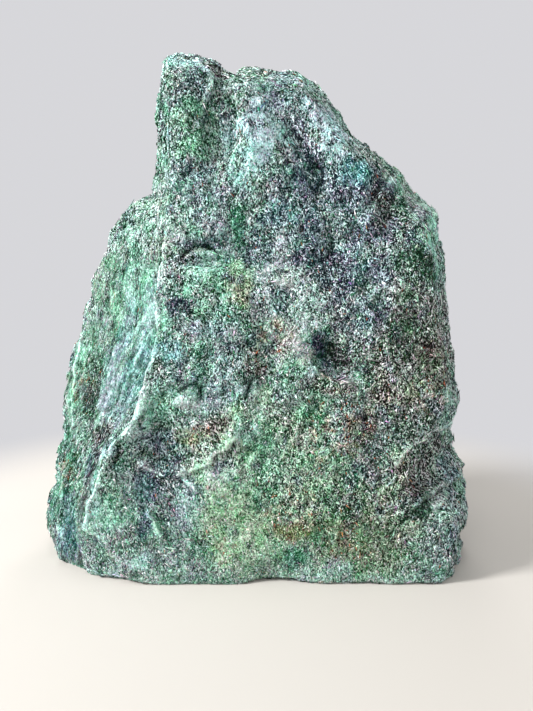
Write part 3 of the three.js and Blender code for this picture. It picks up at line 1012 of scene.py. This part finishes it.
# How far a grain is lighter or darker than the colour round it: partly the mica's own light and
# dark grains, partly painted glints, as the palest stand in for flakes that catch the light. How
# far it is greener, and the darkest and the lightest that its colours can be. Grains of one shade
# also lie in clumps.
GRAIN_AND_GLINT = 0.52
GRAIN_SKEW = 0.07
GRAIN_HUE = np.array((-0.043, 0.030, -0.013))
DARKEST = 0.02
LIGHTEST = 0.94
GRAIN_CLUMPS = {"share": 0.42, "length": 2.4}

# Rusty specks: how much they differ from RUST, and from each other.
SPECK_HUE = (0.08, -0.04, -0.06)
SPECK_SCATTER = 0.08

# Steps from dark to light in each colour of a flake, and where its corners are in the bake map's
# square for its shade.
SHADES = 10
BAKE_SPOTS = np.array([(0.15, 0.15), (0.85, 0.15), (0.5, 0.85), (0.5, 0.4)])


def surface_points(mesh, count, random):
    """Points spread evenly over the mesh: places, normals, colours and contrasts."""
    places, normals, edges = mesh_arrays(mesh)
    for _ in range(2):
        normals = neighbour_mean(normals, edges)
    tint_and_painted_light, contrast = get_colours(mesh, "tint_and_painted_light"), get_colours(mesh, "contrast")
    corners = loop_corners(mesh).reshape(-1, 3)
    a, b, c = (places[corners[:, k]] for k in range(3))
    area = np.linalg.norm(np.cross(b - a, c - a), axis=1)
    area[(places[corners, 2] < NO_FLAKES_BELOW).all(1)] = 0
    area *= np.where(normals[corners[:, 0], 1] < -0.2, FRONT_SHARE, 1)
    chosen = random.choice(len(area), count, p=area / area.sum())
    s, t = random.random((2, count))
    flip = s + t > 1
    s, t = np.where(flip, 1 - s, s), np.where(flip, 1 - t, t)
    shares = np.stack([1 - s - t, s, t], 1)[:, :, None]
    places, normals, tint_and_painted_light, contrast = (
        (values[corners[chosen]] * shares).sum(1) for values in (places, normals, tint_and_painted_light, contrast))
    normals /= np.linalg.norm(normals, axis=1, keepdims=True)
    return places, normals, tint_and_painted_light, contrast[:, 0]


def crest_direction(places):
    """Direction of the crest at the height of each place."""
    above, below = (crest_x(places[:, 2] + step) for step in (CREST_REACH, -CREST_REACH))
    slope = (above - below) / (2 * CREST_REACH)
    return np.stack([slope, 0 * above, np.ones(len(places))], 1)


def grain_direction(places, normals):
    """Direction along which the mica lies.

    That is along the sheets' ends, along the crest on the flank, or near upright on a face.
    """
    along = np.cross(normals, [0.0, 1.0, 0.0])
    along *= np.sign(along[:, 2:] + SMALLEST)
    angle = np.zeros(len(places))
    for seed, swing in enumerate(FACE_SWINGS):
        angle += swing["angle"] * noise(places, swing["length"], 120 + seed)
    upright = np.stack([np.sin(angle), 0 * angle, np.cos(angle)], 1)
    edge = smoothstep(*EDGE_PULL, np.linalg.norm(along, axis=1))[:, None]
    along = edge * along + (1 - edge) * upright * FACE_PULL
    flank = flank_share(places, normals)[:, None]
    along = flank * crest_direction(places) + (1 - flank) * along
    along -= normals * np.einsum("ij,ij->i", along, normals)[:, None]
    return along / (np.linalg.norm(along, axis=1, keepdims=True) + SMALLEST)


def skewed(light):
    """The lightness of grains, with more dark ones and fewer very light ones."""
    return light - GRAIN_SKEW * (light**2 - 1)


def grain_and_glint_colours(places, normals, tint_and_painted_light, contrast, random):
    """A colour for each flake round the local tint, from near black to pale mint, or rust."""
    count = len(places)
    light = random.standard_normal(count)
    light += GRAIN_CLUMPS["share"] * noise(places * TALL, GRAIN_CLUMPS["length"], 122)
    # The palest grains are partly painted glints.
    own = tint_and_painted_light + GRAIN_AND_GLINT * (contrast * skewed(light))[:, None]
    own += GRAIN_HUE * random.standard_normal((count, 1))
    own += np.clip(DARKEST - own.min(1), 0, None)[:, None]
    own -= np.clip(own.max(1) - LIGHTEST, 0, None)[:, None]
    rusty = random.random(count) < RUST_SPECKS * rust_share(places, normals)
    speck = np.array(RUST) + SPECK_HUE + SPECK_SCATTER * random.standard_normal((count, 1))
    own = np.where(rusty[:, None], speck, own)
    return np.rint(np.clip(own, 0, 1) * SHADES).astype(int)


def flakes(stone, name, long, wide, tilt, lift, grain, random):
    """One mesh of many flakes: each an uneven triangle with its root sunk in the stone."""
    count = FLAKE_COUNT
    places, normals, tint_and_painted_light, contrast = surface_points(stone, count, random)
    facing = normals + tilt * random.standard_normal((count, 3))
    facing /= np.linalg.norm(facing, axis=1, keepdims=True)
    along = grain_direction(places, facing)
    across = np.cross(facing, along)
    edge = np.maximum(edge_share(normals), flank_share(places, normals))[:, None]
    long, wide = long * (1 + EDGE_LONGER * edge), wide * (1 - EDGE_NARROWER * edge)
    turn = TURN_SCATTER * (1 - EDGE_TURN_LESS * edge) * random.standard_normal((count, 1))
    turn += math.pi * (random.random((count, 1)) < 0.5)
    along, across = (along * np.cos(turn) + across * np.sin(turn),
                     across * np.cos(turn) - along * np.sin(turn))
    size = np.exp(SIZE_SCATTER * random.standard_normal(count))[:, None]
    raised = places + lift * normals
    corners = []
    for a, b in OUTLINE:
        shift = OUTLINE_SCATTER * random.standard_normal((2, count, 1))
        corners.append(raised + long * size * (a + shift[0]) * along
                       + wide * size * (b + shift[1]) * across)
    corners.append(places - ROOT * normals)
    points = np.stack(corners, 1).reshape(-1, 3)
    points[:, 2] = np.maximum(points[:, 2], FLOOR_GAP)
    first = CORNERS * np.arange(count)[:, None, None]
    mesh = mesh_of(name, points, (first + np.array(SIDES)).reshape(-1, 3))
    levels = grain_and_glint_colours(places, normals, tint_and_painted_light, grain * contrast, random)
    # Each flake's shade; the palest are partly painted glints.
    set_colours(mesh, "shade", np.repeat((levels / SHADES) ** LINEAR, CORNERS, axis=0))
    lay_out_flakes(mesh, levels)
    return mesh


def lay_out_flakes(mesh, levels):
    """A map for baking: all flakes of one shade share one small square of it."""
    side = SHADES + 1
    shade = levels @ [side * side, side, 1]
    columns = math.ceil(math.sqrt(side**3))
    column, row = shade % columns, shade // columns
    corner = loop_corners(mesh)
    flake, which = corner // CORNERS, corner % CORNERS
    at = np.stack([column[flake], row[flake]], 1) + BAKE_SPOTS[which]
    set_bake_map(mesh, at / columns)


# ---------------------------------------------------------------- materials


# Grain of the stone between the flakes. Scales are per metre. The reach is how far grains are bent
# out of line, and the distance how high they stand, both in metres.
GRAIN_STRETCH = (1.0, 1.0, 0.62)
BEND = {"Scale": 700.0, "Detail": 2.0}
BEND_REACH = 0.0011
COARSE_GRAINS = {"Scale": 2200.0}
FINE_GRAINS = {"Scale": 4200.0}
CLUMPS = {"Scale": 420.0, "Detail": 3.0, "Roughness": 0.6}
THREADS = {"Scale": 1300.0, "Detail": 2.0, "Roughness": 0.7}
GRAIN_BUMP = {"Strength": 0.55, "Distance": 0.0004}

# Parts of a grain's lightness, and the middle that is taken off their sum, so that it is spread
# round 0 with a deviation of about 1.
COARSE_LIGHT = 1.6
FINE_LIGHT = 2.4
CLUMP_LIGHT = 2.6
THREAD_DARK = 10.0
LIGHT_MIDDLE = 3.0

# A grain's hue swings this many times GRAIN_HUE from greenest to least green.
GRAIN_HUE_SWING = 3

# How rough the grains and the flakes are, and how much they shine. The grains' roughness is the
# first value and up to the second one more.
GRAIN_ROUGHNESS = (0.38, 0.3)
GRAIN_SHINE = 0.10
FLAKE_ROUGHNESS = 0.38
FLAKE_SHINE = 0.12

# Floor and room: the floor is pale cloth out to one radius, and the room's grey from the other.
CLOTH = (0.50, 0.475, 0.44)
CLOTH_ROUGHNESS = 0.9
CLOTH_SHINE = 0.1
CLOTH_RADIUS = 125
FADE_RADIUS = 230
WALL = (0.80, 0.80, 0.83)
WALL_LIGHT = 0.35
WALL_SEEN = 0.85


def feed(tree, node, inputs):
    """Sets a node's inputs to values, or links them to other nodes' results."""
    for name, value in inputs.items():
        if isinstance(value, bpy.types.NodeSocket):
            tree.links.new(value, node.inputs[name])
        else:
            node.inputs[name].default_value = value


def add_node(tree, kind, inputs, **settings):
    """A new node with these settings and inputs."""
    node = tree.nodes.new("ShaderNode" + kind)
    for name, value in settings.items():
        setattr(node, name, value)
    feed(tree, node, inputs)
    return node


def number(tree, operation, *given):
    """The result of a calculation with numbers, or with other nodes' results."""
    return add_node(tree, "Math", dict(enumerate(given)), operation=operation).outputs[0]


def scaled_sum(tree, *given):
    """The first vector times the second, plus the third."""
    node = add_node(tree, "VectorMath", dict(enumerate(given)), operation="MULTIPLY_ADD")
    return node.outputs["Vector"]


def red_green_blue(tree, colour):
    """The three parts of a colour."""
    return add_node(tree, "SeparateColor", {"Color": colour}).outputs


def stored(tree, name):
    """A colour that set_colours gave the mesh."""
    return add_node(tree, "VertexColor", {}, layer_name=name).outputs["Color"]


def new_material(name):
    """A new material, its node tree and its shader."""
    material = bpy.data.materials.new(name)
    material.use_nodes = True
    return material, material.node_tree, material.node_tree.nodes["Principled BSDF"]


def grains(tree):
    """Coarse and fine grains, as random colours, and the lightness that comes of them."""
    where = add_node(tree, "TexCoord", {}).outputs["Object"]
    stretch = add_node(tree, "Mapping", {"Vector": where, "Scale": GRAIN_STRETCH})
    stretched = stretch.outputs["Vector"]
    bend = add_node(tree, "TexNoise", {"Vector": stretched, **BEND}).outputs["Color"]
    bent = scaled_sum(tree, bend, (BEND_REACH,) * 3, stretched)
    coarse, fine = (
        red_green_blue(tree, add_node(tree, "TexVoronoi", {"Vector": bent, **size}).outputs["Color"])
        for size in (COARSE_GRAINS, FINE_GRAINS))
    clumps = add_node(tree, "TexNoise", {"Vector": stretched, **CLUMPS}).outputs["Fac"]
    threads = add_node(tree, "TexNoise", {"Vector": bent, **THREADS}).outputs["Fac"]
    thread = number(tree, "ABSOLUTE", number(tree, "SUBTRACT", threads, 0.5))
    light = number(tree, "MULTIPLY", coarse["Red"], COARSE_LIGHT)
    light = number(tree, "ADD", light, number(tree, "MULTIPLY", fine["Green"], FINE_LIGHT))
    light = number(tree, "ADD", light, number(tree, "MULTIPLY", clumps, CLUMP_LIGHT))
    light = number(tree, "SUBTRACT", light, number(tree, "MULTIPLY", thread, THREAD_DARK))
    return coarse, fine, number(tree, "SUBTRACT", light, LIGHT_MIDDLE)


def grain_and_glint_light(tree, light, tint_and_painted_light):
    """The grains' lightness, skewed, with the local contrast, and kept inside what grains have."""
    square = number(tree, "SUBTRACT", number(tree, "MULTIPLY", light, light), 1.0)
    light = number(tree, "SUBTRACT", light, number(tree, "MULTIPLY", square, GRAIN_SKEW))
    light = number(tree, "MULTIPLY", light, stored(tree, "contrast"))
    parts = red_green_blue(tree, tint_and_painted_light)
    lowest, highest = (
        number(tree, "DIVIDE", number(tree, "SUBTRACT", limit, part), GRAIN_AND_GLINT)
        for limit, part in ((DARKEST, parts["Red"]), (LIGHTEST, parts["Green"])))
    return number(tree, "MINIMUM", number(tree, "MAXIMUM", light, lowest), highest)


def stone_material():
    """Schist: small mica grains round the local tint, from near black to pale mint."""
    material, tree, shader = new_material("fuchsite_schist")
    tint_and_painted_light = stored(tree, "tint_and_painted_light")
    coarse, fine, light = grains(tree)
    light = grain_and_glint_light(tree, light, tint_and_painted_light)
    # The grains' spread is partly the mica's own, partly painted glints.
    own = scaled_sum(tree, light, (GRAIN_AND_GLINT,) * 3, tint_and_painted_light)
    swing = number(tree, "SUBTRACT", fine["Blue"], 0.5)
    own = scaled_sum(tree, swing, tuple(GRAIN_HUE_SWING * GRAIN_HUE), own)
    linear = add_node(tree, "Gamma", {"Color": own, "Gamma": LINEAR})
    least, more = GRAIN_ROUGHNESS
    rough = number(tree, "ADD", number(tree, "MULTIPLY", coarse["Blue"], more), least)
    bump = add_node(tree, "Bump", {"Height": light, **GRAIN_BUMP})
    feed(tree, shader, {
        "Base Color": linear.outputs["Color"],
        "Roughness": rough,
        "Normal": bump.outputs["Normal"],
        "Specular IOR Level": GRAIN_SHINE})
    return material


def flake_material():
    """Mica: smooth pearly plates, each in its own shade, the palest partly painted glints."""
    material, tree, shader = new_material("mica_flake")
    feed(tree, shader, {
        "Base Color": stored(tree, "shade"),
        "Roughness": FLAKE_ROUGHNESS,
        "Specular IOR Level": FLAKE_SHINE})
    return material


def floor_material():
    """Pale cloth near the stone, which fades into the grey of the room further out."""
    material, tree, shader = new_material("pale_floor")
    feed(tree, shader, {
        "Base Color": (*CLOTH, 1),
        "Roughness": CLOTH_ROUGHNESS,
        "Specular IOR Level": CLOTH_SHINE})
    where = add_node(tree, "TexCoord", {}).outputs["Object"]
    away = add_node(tree, "VectorMath", {0: where}, operation="LENGTH").outputs["Value"]
    fade = {"From Min": CLOTH_RADIUS * MM, "From Max": FADE_RADIUS * MM, "Value": away}
    share = add_node(tree, "MapRange", fade, interpolation_type="SMOOTHSTEP").outputs["Result"]
    room = add_node(tree, "Emission", {"Color": (*WALL, 1), "Strength": WALL_SEEN})
    mix = add_node(tree, "MixShader", {"Fac": share, 1: shader.outputs[0], 2: room.outputs[0]})
    feed(tree, tree.nodes["Material Output"], {"Surface": mix.outputs[0]})
    return material


# ---------------------------------------------------------------- stage


CAMERA_AT = (4.4, -192.0, 92.7)
CAMERA_PITCH = 6.1
LENS = 26.33
LONG_SIDE = 36.0
NEAR = 10
FAR = 10_000

# Soft round lights: place, width, and power in watts. All of them face the stone.
LIGHTS = [
    {"name": "left", "at": (-565, -210, 420), "width": 160, "power": 8.7},
    {"name": "front", "at": (-160, -600, 330), "width": 450, "power": 1.9},
    {"name": "right", "at": (600, -40, 300), "width": 380, "power": 1.4},
    {"name": "top", "at": (-60, -60, 700), "width": 380, "power": 1.2},
    {"name": "back", "at": (60, 600, 360), "width": 420, "power": 2.0},
]
STONE_MIDDLE = (0, 0, 85)

FLOOR_RADIUS = 3000
FLOOR_CORNERS = 96


def place(thing, at):
    """Puts a camera or a light at its place in mm."""
    thing.location = [value * MM for value in at]
    bpy.context.scene.collection.objects.link(thing)


def add_camera():
    """The camera, which looks along Y and a little down."""
    data = bpy.data.cameras.new("camera")
    data.lens, data.sensor_width, data.sensor_fit = LENS, LONG_SIDE, "AUTO"
    data.clip_start, data.clip_end = NEAR * MM, FAR * MM
    camera = bpy.data.objects.new("camera", data)
    camera.rotation_euler = (math.radians(90 - CAMERA_PITCH), 0, 0)
    place(camera, CAMERA_AT)
    bpy.context.scene.camera = camera


def add_light(name, at, width, power):
    """A soft white light that faces the middle of the stone."""
    data = bpy.data.lights.new(name, "AREA")
    data.shape, data.size, data.energy = "DISK", width * MM, power
    light = bpy.data.objects.new(name, data)
    aim = np.array(STONE_MIDDLE) - at
    light.rotation_euler = Vector(aim).to_track_quat("-Z", "Y").to_euler()
    place(light, at)


def add_floor():
    """A wide round floor under the stone."""
    shape = bmesh.new()
    radius = FLOOR_RADIUS * MM
    bmesh.ops.create_circle(shape, cap_ends=True, segments=FLOOR_CORNERS, radius=radius)
    mesh = bpy.data.meshes.new("floor")
    shape.to_mesh(mesh)
    shape.free()
    mesh.materials.append(floor_material())
    floor = bpy.data.objects.new("floor", mesh)
    bpy.context.scene.collection.objects.link(floor)


def set_world():
    """Pale grey all round, which the camera sees brighter than it lights the stone."""
    world = bpy.data.worlds.new("studio")
    world.use_nodes = True
    tree = world.node_tree
    light = tree.nodes["Background"]
    feed(tree, light, {"Color": (*WALL, 1), "Strength": WALL_LIGHT})
    seen = add_node(tree, "Background", {"Color": (*WALL, 1), "Strength": WALL_SEEN})
    direct = add_node(tree, "LightPath", {}).outputs["Is Camera Ray"]
    mix = add_node(tree, "MixShader", {"Fac": direct, 1: light.outputs[0], 2: seen.outputs[0]})
    feed(tree, tree.nodes["World Output"], {"Surface": mix.outputs[0]})
    bpy.context.scene.world = world
    bpy.context.scene.view_settings.view_transform = "Standard"


# ---------------------------------------------------------------- the scene


def build():
    """The stone, which stands in for the CAD stone, and the flakes on it."""
    stone_mesh = carved_stone()
    lay_out_stone(stone_mesh)
    random = np.random.default_rng(SEED)
    mica = flake_material()
    for kind in FLAKES:
        mesh = flakes(stone_mesh, random=random, **kind)
        add_piece(kind["name"], mesh, mica)
    stone = add_piece("stone", stone_mesh, stone_material())
    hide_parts(NODE)


build()
add_floor()
set_world()
for settings in LIGHTS:
    add_light(**settings)
add_camera()
